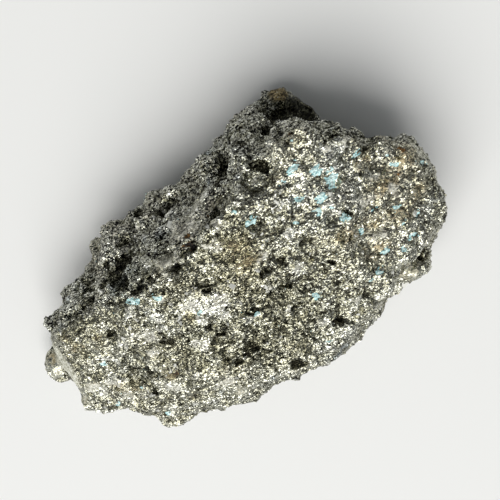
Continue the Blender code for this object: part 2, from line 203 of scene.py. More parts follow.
class SpecimenSettings(bpy.types.PropertyGroup):
    """Sizes and colours of the stone."""

    skin_grid: length_property("Skin grid", "Spacing of the points of the skin", 0.25, 0.2, 2)
    cell_size: length_property("Cell size", "Width of a usual facet of the skin", 0.7, 0.3, 4)
    grain_size: length_property("Grain size", "Width of a usual grain", 0.7, 0.3, 3)
    grain_spacing: length_property(
        "Grain spacing", "Distance between neighbouring grains", 1.15, 0.4, 3
    )
    crystal_size: length_property("Crystal size", "Width of a usual large crystal", 1.9, 1, 6)
    crystal_count: IntProperty(
        name="Crystals", description="How many large crystals stand out of the skin",
        default=350, min=0, max=3000,
    )
    silvery: colour_property("Silvery pyrite", "Colour of the palest faces", "#e8e9e2")
    brassy: colour_property("Brassy pyrite", "Colour of warmer and stained faces", "#d5cdae")
    bluish: colour_property("Bluish pyrite", "Colour of the coldest faces", "#c3cacf")
    powder: colour_property("Powder", "Colour of the dull grey film of crushed grains", "#dcdcd4")
    ochre: colour_property("Ochre", "Colour of the tan film of weathered ore", "#cdb88c")
    quartz: colour_property("Quartz", "Colour of the grey quartz between the grains", "#a9a9a0")
    pale_quartz: colour_property("Pale quartz", "Colour of the palest quartz", "#d4d4cc")
    blue: colour_property("Blue crust", "Colour of the copper salts", "#93dbe2")
    white: colour_property("White crust", "Colour of the thickest copper salts", "#e4faf6")
    rust: colour_property("Rust", "Colour of the iron oxide in the recesses", "#86602c")


class StageSettings(bpy.types.PropertyGroup):
    """Floor, lights and camera."""

    floor_colour: colour_property("Floor", "Colour of the floor", "#e9e9e7")
    key_power: FloatProperty(
        name="Key light", description="Power of the large soft light", default=57.0, min=0, unit="POWER"
    )
    key_elevation: FloatProperty(
        name="Key elevation", description="Height of the key light above the horizon",
        default=math.radians(54), min=0, max=math.pi / 2, subtype="ANGLE",
    )
    room_light: FloatProperty(
        name="Room light", description="Brightness of the room beside the window", default=0.52, min=0
    )
    room_dim: FloatProperty(
        name="Dim side", description="Brightness of the room away from the window", default=0.08, min=0
    )
    camera_distance: FloatProperty(
        name="Camera distance", description="From the camera to the point that it looks at",
        default=0.165, min=0.05, subtype="DISTANCE",
    )
    camera_tilt: FloatProperty(
        name="Camera tilt", description="How far the camera leans from straight above",
        default=math.radians(16), min=0, max=math.pi / 2, subtype="ANGLE",
    )
    camera_turn: FloatProperty(
        name="Camera turn", description="Turn of the camera about the upright axis",
        default=math.radians(-26), min=-math.pi, max=math.pi, subtype="ANGLE",
    )


# Where the middle of the picture lies on the floor, and how many pixels it is across.
LOOK_AT = Vector((5.19, -1.27, 0.0)) * MM
PICTURE_WIDTH = 500
# The photograph's field of view, as a lens on a sensor of this width in millimetres.
CAMERA_LENS = 56.23
CAMERA_SENSOR = 36.0
FOCAL_PIXELS = CAMERA_LENS / CAMERA_SENSOR * PICTURE_WIDTH


def camera_matrix(stage):
    """Place of the camera: it looks at LOOK_AT, leaning towards its own upper side."""
    turned = Matrix.Rotation(stage.camera_turn, 4, "Z") @ Matrix.Rotation(-stage.camera_tilt, 4, "X")
    back = turned.to_3x3() @ Vector((0.0, 0.0, 1.0))
    return Matrix.Translation(LOOK_AT + back * stage.camera_distance) @ turned


def places_of(marks, stage, solid):
    """Where the lines of sight to the marks first meet the solid, with the marks' radii."""
    camera = camera_matrix(stage)
    middle = PICTURE_WIDTH / 2
    found = []
    for x, y, radius in marks:
        way = camera.to_3x3() @ Vector((x - middle, middle - y, -FOCAL_PIXELS))
        place = solid.ray_cast(camera.translation, way)[0]
        if place is not None:
            found.append((*place, radius * PIXEL))
    return found


def seen_at(points, stage):
    """Where in the picture the camera sees each point, as pixels from its left and top edges."""
    camera = np.array(camera_matrix(stage))
    local = (points - camera[:3, 3]) @ camera[:3, :3]
    middle = PICTURE_WIDTH / 2
    across = middle - FOCAL_PIXELS * local[:, 0] / local[:, 2]
    down = middle + FOCAL_PIXELS * local[:, 1] / local[:, 2]
    return across, down


def skin_arrays():
    """Points, point normals and triangles of the whole skin."""
    parts = [mesh_arrays(bpy.data.objects[name].data) for name in SKINS]
    firsts = np.cumsum([0] + [len(part[0]) for part in parts])
    return (
        np.concatenate([part[0] for part in parts]),
        np.concatenate([part[1] for part in parts]),
        np.concatenate([part[2] + first for part, first in zip(parts, firsts)]),
    )


def skin_looks():
    """How the stone looks at each point of the whole skin, as the skins' meshes store it."""
    looks = {}
    for name in SKIN_LOOKS:
        stored = [bpy.data.objects[skin].data.attributes[name].data for skin in SKINS]
        values = [rows_of(items, "value", 1, np.float32) for items in stored]
        looks[name] = np.concatenate(values)[:, 0]
    return looks


def rows_of(items, attribute, width, kind=float):
    """An attribute of a mesh's points, edges, faces or looks, as an array with a row for each."""
    values = np.empty(len(items) * width, kind)
    items.foreach_get(attribute, values)
    return values.reshape(-1, width)


def mesh_arrays(mesh):
    """Points, point normals and triangles of a mesh as arrays."""
    mesh.calc_loop_triangles()
    return (
        rows_of(mesh.vertices, "co", 3),
        rows_of(mesh.vertices, "normal", 3),
        rows_of(mesh.loop_triangles, "vertices", 3, int),
    )


def mesh_from(bm, name):
    """A new mesh of what the bmesh holds. The bmesh is freed."""
    mesh = bpy.data.meshes.new(name)
    bm.to_mesh(mesh)
    bm.free()
    return mesh


def add_object(name, data):
    """A new object in the scene."""
    thing = bpy.data.objects.new(name, data)
    bpy.context.scene.collection.objects.link(thing)
    return thing


def evaluated_mesh(thing):
    """A copy of the object's mesh with its modifiers applied."""
    bpy.context.view_layer.update()
    graph = bpy.context.evaluated_depsgraph_get()
    return bpy.data.meshes.new_from_object(thing.evaluated_get(graph))


def set_looks(mesh, looks):
    """Stores on each point how the stone looks there, for the materials to read."""
    for name, values in looks.items():
        attribute = mesh.attributes.new(name, "FLOAT", "POINT")
        attribute.data.foreach_set("value", np.asarray(values, np.float32))


def add_piece(name, mesh, material):
    """A piece of the object, at the origin, riding on the stone's body."""
    old = bpy.data.objects.get(name)
    if old:
        bpy.data.objects.remove(old)
    piece = add_object(name, mesh)
    mesh.materials.clear()
    mesh.materials.append(material)
    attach(piece, BODY)
    return piece


def in_ellipsoid(points, ellipsoid):
    """1 in the middle of an ellipsoid given in millimetres, 0 at its surface, negative outside."""
    centre, half_sizes = (np.array(values) * MM for values in ellipsoid)
    return 1.0 - np.sqrt((((points - centre) / half_sizes) ** 2).sum(axis=1))


def field(points, pitch, offset):
    """Smooth noise, about -1 to 1, that repeats at about pitch millimetres. offset picks which."""
    shift = Vector((offset, offset, offset))
    return np.array([noise.noise(Vector(p) / (pitch * MM) + shift) for p in points])


# Marks are longer along the bedding than across it, and ragged: how far their edges wander, and the
# distance at which they do so, in millimetres, with the offset of each direction's noise.
MARK_STRETCH = (1.25, 0.9, 1.0)
MARK_WANDER = 1.3
MARK_RAGGED = 1.4
RAGGED_OFFSETS = (60.0, 67.0, 74.0)
MARKS = {
    "fresh_highlight": FRESH_HIGHLIGHT_MARKS, "tan": TAN_MARKS, "dark": PIT_SHADE_MARKS, "rust": RUST_MARKS,
    "plain": PLAIN_MARKS, "dim": PAINTED_SHADE_AND_DIM_MARKS, "lit": PAINTED_LIGHT_MARKS,
}  # fmt: skip
# Mottles over the whole stone: the pitch and the offset of each one's noise.
MOTTLES = {"small": (1.7, 70.0), "patches": (3.0, 50.0), "regions": (9.0, 20.0), "hues": (2.2, 90.0)}
# The edge between the face and the back: how far it wanders, the pitch and offset of the noise that
# it follows, and how blurred it is. Lengths are in millimetres.
RIDGE_WANDER = 0.8
RIDGE_NOISE = (2.5, 31.0)
RIDGE_BLUR = 0.4
# The blue crust: how far its edges wander, and how many patches of what radius lie on the hidden
# sides. Lengths are in millimetres.
BLUE_WANDER = 0.7
BLUE_OTHERS = 45
BLUE_RADIUS = (0.4, 0.9)
BLUE_SEED = 23


def felt(points, marks):
    """How strongly the nearest of the marks is felt at each point: 1 in its middle, fading outward."""
    strength = np.zeros(len(points))
    for x, y, z, radius in marks:
        away = ((points - (x, y, z)) / (np.array(MARK_STRETCH) * radius)) ** 2
        strength = np.maximum(strength, np.exp(-away.sum(axis=1)))
    return strength


def beyond_ridge(points, stage):
    """1 on the dull back and 0 on the bright face, as the camera sees the ridge between them."""
    across, down = seen_at(points, stage)
    beyond = (np.interp(across, RIDGE_X, RIDGE_Y) - down) * PIXEL / MM
    return 1 / (1 + np.exp(-(beyond + RIDGE_WANDER * field(points, *RIDGE_NOISE)) / RIDGE_BLUR))


def ragged(points, wander):
    """The points shifted to and fro, so that what is laid over them has a ragged edge."""
    shifts = [field(points, MARK_RAGGED, offset) for offset in RAGGED_OFFSETS]
    return points + wander * MM * np.column_stack(shifts)


def hidden_patches(points, normals, stage):
    """A few seeded patches of blue crust on the sides that the camera doesn't see."""
    rng = np.random.default_rng(BLUE_SEED)
    sight = points - np.array(camera_matrix(stage).translation)
    hidden = points[(sight * normals).sum(axis=1) > 0]
    places = hidden[rng.choice(len(hidden), BLUE_OTHERS)]
    return [(*place, rng.uniform(*BLUE_RADIUS) * MM) for place in places]


# How much brighter the bright face is at these places along the stone, in millimetres, and how
# strongly it is mottled there.
TONE_ALONG = ((-45, -25, -8, 8, 20, 40), (0.1, 0.08, 0.0, 0.0, 0.32, 0.4))
MOTTLED_ALONG = ((-45, -20, -8, 15, 40), (0.26, 0.26, 0.05, 0.05, 0.17))
# Values go from 0 to 1, and the tone lower where pits are painted black as painted shade and higher where
# the fresh crystal's painted highlight is white.
TONE_RANGE = (-0.6, 1.3)
# What the looks are made of: a level everywhere, and how much marks, mottles and the back add. In the
# tone, pits add painted shade, fresh crystal painted highlight, the lit areas painted light and the dim
# ones painted shade and darker stone; in the dull film, fresh crystal adds a white film that stands in
# for its highlights.
TONE_PARTS = {"all": 0.57, "fresh_highlight": 0.8, "dark": -0.8, "shaded": 0.3, "lit": 0.36, "dim": -0.2}
DULL_PARTS = {
    "all": 0.12, "shaded": 0.25, "regions": 0.25, "fresh_highlight": 0.45, "tan": 0.35, "plain": 0.5,
}  # fmt: skip
WARM_PARTS = {"all": 0.24, "regions": 0.2, "hues": 0.22, "tan": 0.5}
# The back is less warm and rougher than the face, and the fresh crystal's painted highlight a little
# warm.
BACK_COOLER = 0.5
BACK_ROUGHER = 0.3
FRESH_HIGHLIGHT_WARMTH = 0.1
# How much smoother plain blocks and the fresh crystal with painted highlight are, and how much rust is
# mottled.
PLAIN_CALM = 0.85
FRESH_HIGHLIGHT_CALM = 0.2
RUST_MOTTLED = 0.25
# The strength of a mark at which the fresh crystal's painted highlight and a pit's painted shade begin,
# and how fast each gains from there.
MARK_FROM = 0.42
FRESH_HIGHLIGHT_GAIN = 2.5
PIT_SHADE_GAIN = 3.5
# Smooth faces: how fast they gain from their edges inward, the tone of the pale one, the brow's painted
# shadow on the dark one and how dull that one is, and how smooth the brown one.
FACE_GAIN = 4
PALE_TONE = 0.75
BROW_SHADOW_TONE = -0.3
BROW_SHADOW_DULL = 0.5
BROWN_CALM = 0.2
# Skin that faces down by more than this looks like the back, by this much.
UNDERSIDE_WAY = -0.2
UNDERSIDE_SHADED = 0.7


def added_up(parts, shares):
    """The sum of the shares, each times the part of its name."""
    return sum(share * parts[name] for name, share in shares.items())


def looks_at(points, normals, stage):
    """How the stone looks at each point, from 0 to 1.

    tone is how bright, painted shade and painted light included, dull how much is under powder, which
    over the freshest crystal stands in for its highlights, warm how brassy, rust how rusty, broken how
    rough, pit how deep the recesses are, blue how near blue crust is and shaded whether the point is on
    the dull back.
    """
    solid_points, _, solid_triangles = mesh_arrays(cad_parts[NODE].data)
    solid = BVHTree.FromPolygons(solid_points.tolist(), solid_triangles.tolist())
    shifted = ragged(points, MARK_WANDER)
    parts = {name: felt(shifted, places_of(marks, stage, solid)) for name, marks in MARKS.items()}
    parts |= {name: field(points, *mottle) for name, mottle in MOTTLES.items()}
    crusted = places_of(BLUE_MARKS, stage, solid) + hidden_patches(points, normals, stage)
    underside = UNDERSIDE_SHADED * (normals[:, 2] < UNDERSIDE_WAY)
    shaded = np.maximum(beyond_ridge(points, stage), underside)
    # On the smooth face behind the brow, the brow's shadow is painted.
    pale, brow_shadow, brown = (
        np.clip(FACE_GAIN * in_ellipsoid(points, face), 0, 1)
        for face in (PALE_FACE, BROW_SHADOW_FACE, BROWN_FACE)
    )
    cleft = np.maximum(pale, np.maximum(brow_shadow, BROWN_CALM * brown))
    # Pits and recesses are painted darker, as painted shade.
    dark = np.clip(PIT_SHADE_GAIN * (parts["dark"] - MARK_FROM), 0, 1)
    fresh_highlight = np.clip(FRESH_HIGHLIGHT_GAIN * (parts["fresh_highlight"] - MARK_FROM), 0, 1) * (1 - dark)
    lit = parts["lit"] * (1 - dark)
    parts |= {"all": 1.0, "shaded": shaded, "dark": dark, "fresh_highlight": fresh_highlight, "lit": lit}
    along = points[:, 0] / MM
    tone = added_up(parts, TONE_PARTS) + np.interp(along, *TONE_ALONG) * (1 - shaded)
    tone += np.interp(along, *MOTTLED_ALONG) * (parts["small"] + parts["patches"])
    warm = added_up(parts, WARM_PARTS) * (1 - BACK_COOLER * shaded) * (1 - fresh_highlight) * (1 - pale)
    calm = np.maximum(np.maximum(PLAIN_CALM * parts["plain"], FRESH_HIGHLIGHT_CALM * fresh_highlight), cleft)
    looks = {
        "tone": tone * (1 - cleft) + PALE_TONE * pale + BROW_SHADOW_TONE * brow_shadow,
        "dull": added_up(parts, DULL_PARTS) * (1 - cleft) + pale + BROW_SHADOW_DULL * brow_shadow + brown,
        "warm": warm + brown + FRESH_HIGHLIGHT_WARMTH * fresh_highlight,
        "rust": (parts["rust"] + RUST_MOTTLED * parts["patches"]) * (1 - cleft),
        "broken": (1 - calm) * (1 + BACK_ROUGHER * shaded) / (1 + BACK_ROUGHER),
        "pit": dark * (1 - cleft),
        "blue": felt(ragged(points, BLUE_WANDER), crusted),
        "shaded": shaded,
    }
    ranges = dict.fromkeys(looks, (0, 1)) | {"tone": TONE_RANGE}
    return {name: np.clip(values, *ranges[name]) for name, values in looks.items()}


# How close points of the solid are merged, in millimetres, and how often its flat faces are evened
# out before the skin gets its own relief.
MERGED_WITHIN = 0.001
CALMING_ROUNDS = 24
# Relief of the skin in millimetres: how high each kind stands, and the distance at which it repeats.
# Octaves are how fast they fade, how much finer each is than the last and how many there are, and
# for the seams the offset and gain of their ridges too.
SKIN_INSET = 0.15
SWELL_HEIGHT = 0.22
SWELL_PITCH = 5.0
SWELL_OCTAVES = (0.9, 2.1, 3)
CRUMPLE_HEIGHT = 0.16
CRUMPLE_PITCH = 1.1
CRUMPLE_OCTAVES = (0.9, 2.1, 2)
COARSE_PITCH = 2.6
COARSE_TILT = 0.75
COARSE_STEP = 0.16
FINE_PITCH = 0.9
FINE_TILT = 0.45
FINE_STEP = 0.1
SEAM_HEIGHT = 0.18
SEAM_PITCH = (7.0, 1.5, 1.3)
SEAM_MEAN = 1.2
SEAM_OCTAVES = (0.9, 2.0, 2, 1.0, 2.0)
PIT_DEPTH = 0.5
# Lumps with crevices between them, which the painted hollow shade darkens, stand out on the bright face
# and, higher, on the back. Their crevices are bent, by a noise that is finer than they are.
LUMP_PITCH = 4.2
LUMP_EDGE = 0.5
LUMP_BEND = 0.3
LUMP_BEND_FINER = 2.0
LUMP_BEND_OFFSET = Vector((9.0, 9.0, 9.0))
LUMP_HEIGHTS = (0.12, 0.55)
LUMP_MEAN = 0.75
# Small lumps, each with its own shade.
KNOT_PITCH = 1.9
KNOT_HEIGHT = 0.1
# A cell's place is multiplied by these, so that its lean, height and shade are unlike its neighbours'.
LEAN_SCATTER = 37.0
STEP_SCATTER = 3.1


def facets(place, tilt, step):
    """Height of flat faces, each tilted its own way, that meet in sharp edges."""
    seed = noise.voronoi(place)[1][0]
    lean = (noise.cell_vector(seed * LEAN_SCATTER) - Vector(RANDOM_MIDDLE)) * tilt
    return (place - seed).dot(lean) + step * noise.noise(seed * STEP_SCATTER)


def lump(point, pitch):
    """How high a point is, 1 on top of a lump and 0 in the crevice round it, and the lump's shade."""
    place = point / pitch
    finer = place * LUMP_BEND_FINER
    bend = Vector((noise.noise(finer), noise.noise(finer + LUMP_BEND_OFFSET), 0.0))
    nearest, seeds = noise.voronoi(place + bend * LUMP_BEND)
    return min(1.0, (nearest[1] - nearest[0]) / LUMP_EDGE), noise.cell(seeds[0] * LEAN_SCATTER)


def skin_relief(point):
    """How far the skin stands out at a point given in millimetres."""
    swell = SWELL_HEIGHT * noise.fractal(point / SWELL_PITCH, *SWELL_OCTAVES)
    stretched = Vector(value / pitch for value, pitch in zip(point, SEAM_PITCH))
    seams = SEAM_HEIGHT * (noise.ridged_multi_fractal(stretched, *SEAM_OCTAVES) - SEAM_MEAN)
    coarse = facets(point / COARSE_PITCH, COARSE_TILT, COARSE_STEP)
    fine = facets(point / FINE_PITCH, FINE_TILT, FINE_STEP)
    crumple = CRUMPLE_HEIGHT * noise.fractal(point / CRUMPLE_PITCH, *CRUMPLE_OCTAVES)
    return swell + seams + coarse + fine + crumple - SKIN_INSET


# Small vugs and slots along the bedding: how many, half length, half width and depth in millimetres,
# and how much taller than wide they are where they cut a steep wall.
SLOT_COUNT = 110
SLOT_LENGTH = (0.5, 1.8)
SLOT_WIDTH = (0.3, 0.6)
SLOT_DEPTH = (0.4, 1.0)
SLOT_TALLER = 2
SLOT_SEED = 5


def slot_depths(points, rng):
    """How deep the slots reach into the skin at each point, in metres."""
    depths = np.zeros(len(points))
    for start in points[rng.choice(len(points), SLOT_COUNT)]:
        length = rng.uniform(*SLOT_LENGTH)
        width = rng.uniform(*SLOT_WIDTH)
        height = rng.uniform(*SLOT_WIDTH) * SLOT_TALLER
        away = (((points - start) / (np.array((length, width, height)) * MM)) ** 2).sum(axis=1)
        depths = np.maximum(depths, rng.uniform(*SLOT_DEPTH) * MM * np.exp(-away))
    return depths


def smoothed(points, edges, rounds):
    """The points, each moved again and again to the middle of its neighbours."""
    ends = np.concatenate([edges[:, 0], edges[:, 1]])
    others = np.concatenate([edges[:, 1], edges[:, 0]])
    count = np.bincount(ends, minlength=len(points))
    for _ in range(rounds):
        sums = [np.bincount(ends, points[others, axis], len(points)) for axis in range(3)]
        points = np.column_stack(sums) / count[:, None]
    return points


def edge_ends(mesh):
    """The two points of each edge of a mesh."""
    return rows_of(mesh.edges, "vertices", 2, int)


def move_points(mesh, points):
    """Puts the mesh's points at the given places."""
    mesh.vertices.foreach_set("co", points.ravel())
    mesh.update()


def hollows(points, normals, edges, rounds):
    """How far each point lies below the smoothed skin, in millimetres."""
    return ((smoothed(points, edges, rounds) - points) * normals).sum(axis=1) / MM


# Painted shade in hollows: how much darker a hollow is painted for each millimetre of its depth, fine
# ones and wide ones, each with the rounds of smoothing that find it.
PAINTED_HOLLOW_SHADES = ((8, 0.6), (25, 0.5), (140, 0.2))
# How much the tone differs from one small lump to the next, how much painted shade darkens the crevices
# at their rims, and the height that parts a lump's top from its rim.
KNOT_SHADE = 0.08
KNOT_RIM_SHADE = 0.3
KNOT_TOP = 0.8
# The share of the relief that smooth faces keep.
CALM_RELIEF = 0.08
# The stone rests on points lower than this, in millimetres, that face down by more than this. They
# stay flat.
RESTING_BELOW = 0.6
RESTING_WAY = -0.7


def even_copy(grid):
    """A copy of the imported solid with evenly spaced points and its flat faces' edges evened out."""
    bm = bmesh.new()
    bm.from_mesh(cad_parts[NODE].data)
    bmesh.ops.remove_doubles(bm, verts=bm.verts, dist=MERGED_WITHIN * MM)
    helper = add_object("coarse skin", mesh_from(bm, "coarse skin"))
    remesh = helper.modifiers.new("even skin", "REMESH")
    remesh.mode = "VOXEL"
    remesh.voxel_size = grid
    mesh = evaluated_mesh(helper)
    bpy.data.objects.remove(helper)
    points, _, _ = mesh_arrays(mesh)
    move_points(mesh, smoothed(points, edge_ends(mesh), CALMING_ROUNDS))
    return mesh


def skin_mesh(grid, stage):
    """The skin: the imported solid, evenly remeshed and given its finer relief."""
    mesh = even_copy(grid)
    points, normals, _ = mesh_arrays(mesh)
    looks = looks_at(points, normals, stage)
    broken = looks["broken"]
    relief = np.array([skin_relief(Vector(p) / MM) for p in points]) * MM
    low, high = LUMP_HEIGHTS
    lumps = np.array([lump(Vector(p) / MM, LUMP_PITCH)[0] for p in points]) - LUMP_MEAN
    relief += lumps * (low + (high - low) * looks["shaded"]) * MM
    knots = np.array([lump(Vector(p) / MM, KNOT_PITCH) for p in points])
    relief += (knots[:, 0] - LUMP_MEAN) * KNOT_HEIGHT * MM
    # Each small lump gets its own tone, and painted shade darkens the crevice round it.
    looks["tone"] += broken * (KNOT_SHADE * knots[:, 1] + KNOT_RIM_SHADE * (knots[:, 0] - KNOT_TOP))
    relief *= CALM_RELIEF + (1 - CALM_RELIEF) * broken
    depths = slot_depths(points, np.random.default_rng(SLOT_SEED)) * broken
    depths = np.maximum(depths, looks["pit"] * PIT_DEPTH * MM)
    resting = (points[:, 2] < RESTING_BELOW * MM) & (normals[:, 2] < RESTING_WAY)
    relief[resting] = 0
    depths[resting] = 0
    moved = points + normals * (relief - depths)[:, None]
    moved[:, 2] = np.maximum(moved[:, 2], FLOOR_GAP * MM)
    move_points(mesh, moved)
    mesh.shade_smooth()
    points, normals, _ = mesh_arrays(mesh)
    edges = edge_ends(mesh)
    # Hollows are painted darker, as painted shade.
    for rounds, shade in PAINTED_HOLLOW_SHADES:
        looks["tone"] -= shade * broken * hollows(points, normals, edges, rounds)
    looks["tone"] = np.clip(looks["tone"], *TONE_RANGE)
    set_looks(mesh, {name: looks[name] for name in SKIN_LOOKS})
    return mesh


def part_of(mesh, chosen, name):
    """A copy of the mesh with only the chosen faces."""
    bm = bmesh.new()
    bm.from_mesh(mesh)
    bm.faces.ensure_lookup_table()
    others = [bm.faces[i] for i in np.flatnonzero(~chosen)]
    bmesh.ops.delete(bm, geom=others, context="FACES")
    return mesh_from(bm, name)


class SPECIMEN_OT_skin(bpy.types.Operator):
    """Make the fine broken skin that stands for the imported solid"""

    bl_idname = "specimen.skin"
    bl_label = "Skin"

    def execute(self, context):
        settings = context.scene.specimen
        mesh = skin_mesh(settings.skin_grid, context.scene.stage)
        centres = rows_of(mesh.polygons, "center", 3)
        lower = centres[:, 2] < SKIN_PARTED * MM
        left = centres[:, 0] < 0
        material = pyrite_material("massive pyrite", settings)
        for name, chosen in zip(SKINS, (lower, ~lower & left, ~lower & ~left)):
            piece = add_piece(name, part_of(mesh, chosen, name), material)
            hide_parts(NODE)
        bpy.data.meshes.remove(mesh)
        return {"FINISHED"}


# Patterns of the pyrite, in millimetres. The bedding draws them out along the stone, most of all its
# pores and cracks, and a slow wander bends them.
BEDDED = (0.8, 1.0, 1.0)
DRAWN_OUT = (0.6, 1.0, 1.0)
BEND = 0.5
BEND_PITCH = 1.1
BEND_DETAIL = 2.0
# Steps within a facet are too fine to see singly, and are drawn a fifth of a millimetre wide.
CHIP_WIDTH = 0.19
# How each noise is drawn out, the width at which it repeats and how many finer ones it has.
NOISES = {
    "porous": ("drawn out", 0.28, 1.0),
    "slow": ("drawn out", 1.3, 2.0),
    "whole": ("plain", 2.0, 1.0),
    "crumpled": ("bedded", 0.3, 2.0),
    "stained": ("plain", 5.0, 3.0),
    "patchy": ("bedded", 0.5, 1.0),
    "streaked": ("drawn out", 0.7, 2.0),
}
# Where the porous noise goes from a pore to none, and how dark a pore's painted shade is.
PORES = (0.41, 0.49)
PORE_SHADE = 0.03
# A crack follows the slow noise where it has this value, and is painted darker as painted shade. Its
# width is a share of the noise's range.
CRACK_VALUE = 0.5
CRACK_WIDTH = 0.036
CRACK_SHADE = 0.08
# Where the whole noise closes the cracks, and what it adds to their distance to do so.
CRACKS_CLOSE = (0.5, 0.66)
CRACKS_CLOSED = 0.1
# How far facets, and the chips on them, lean, and how high the crumpled noise stands in millimetres.
CELL_LEAN = 0.45
CHIP_LEAN = 0.85
CRUMPLE_BUMP = 0.156
# How much each facet, each chip and each stained region differs in its tarnish.
CELL_TARNISH = 0.6
CHIP_TARNISH = 1.42
STAIN_TARNISH = 0.5
# What the metal's colour is multiplied by, from heavily tarnished to fresh, and the shade for each.
# Tarnish is olive. The lowest and the highest come first, because a ramp starts with two stops.
MOST_SHADE = 3.5
TARNISH = (
    (0.9, (0.02, 0.019, 0.014)), (2.7, (1.1, 1.1, 1.08)), (1.45, (0.19, 0.185, 0.135)),
    (1.85, (0.48, 0.47, 0.385)), (2.25, (0.86, 0.86, 0.8)),
)  # fmt: skip
# The warmth below which pyrite turns bluish.
COOL_BELOW = 0.06
# Where rust, the film and the blue crust lie: how much a pattern adds to how strong each is, to fray
# its edges, and the sum from which it covers the metal.
RUST_FRAYED = 0.8
RUST_FROM = 0.95
FILM_FRAYED = 1.4
FILM_FROM = 1.2
BLUE_FRAYED = 1.6
BLUE_FROM = 1.24
# The crust turns white over this range of its sum, with the pores added, and shows some of the pores'
# painted shade.
WHITE_FRAYED = 1.2
WHITE_RANGE = (BLUE_FROM + 0.4, BLUE_FROM + 1.0)
CRUST_PORE_SHADE = 0.5
METAL_ROUGHNESS = 0.2
FILM_ROUGHNESS = 0.8
QUARTZ_ROUGHNESS = 0.45
# The middle of random colours and vectors, whose parts go from 0 to 1.
RANDOM_MIDDLE = (0.5, 0.5, 0.5)
# The kinds of node that work a value out.
MATHS = "ShaderNodeMath"
VECTORS = "ShaderNodeVectorMath"
RANGE = "ShaderNodeMapRange"


def bare_material(name):
    """A new material and its emptied node tree."""
    material = bpy.data.materials.new(name)
    material.use_nodes = True
    material.node_tree.nodes.clear()
    return material, material.node_tree


def work_out(tree, values, *rows):
    """Adds a node for each row, and its output to the values.

    A row holds the output's name, the kind of node, its operation, or None, and its inputs in their
    order. An input given by a name is the value of that name.
    """
    for made, kind, operation, *inputs in rows:
        sockets = {i: values[each] if isinstance(each, str) else each for i, each in enumerate(inputs)}
        settings = {"operation": operation} if operation else {}
        values[made] = add_node(tree, kind, sockets, **settings).outputs[0]


def pyrite_values(tree, cell_size):
    """What is known at each point of the pyrite, by name: its looks and the patterns through it."""
    values = {
        look: add_node(tree, "ShaderNodeAttribute", attribute_name=look).outputs["Fac"]
        for look in LOOKS
    }
    values["plain"] = add_node(tree, "ShaderNodeTexCoord").outputs["Object"]
    work_out(tree, values, ("bedded", VECTORS, "MULTIPLY", "plain", BEDDED))
    values["wander"] = add_node(
        tree, "ShaderNodeTexNoise",
        {"Vector": values["bedded"], "Scale": 1 / (BEND_PITCH * MM), "Detail": BEND_DETAIL},
    ).outputs["Color"]
    work_out(
        tree, values,
        ("bent", VECTORS, "MULTIPLY_ADD", "wander", (BEND * MM,) * 3, "bedded"),
        ("drawn out", VECTORS, "MULTIPLY", "bent", DRAWN_OUT),
    )
    for name, (way, width, detail) in NOISES.items():
        values[name] = add_node(
            tree, "ShaderNodeTexNoise",
            {"Vector": values[way], "Scale": 1 / (width * MM), "Detail": detail},
        ).outputs["Fac"]
    for name, width in (("cells", cell_size), ("chips", CHIP_WIDTH * MM)):
        values[name] = add_node(
            tree, "ShaderNodeTexVoronoi", {"Vector": values["bent"], "Scale": 1 / width}
        ).outputs["Color"]
    values["crumple"] = add_node(
        tree, "ShaderNodeBump",
        {"Height": values["crumpled"], "Distance": CRUMPLE_BUMP * MM, "Strength": values["broken"]},
    ).outputs[0]
    return values


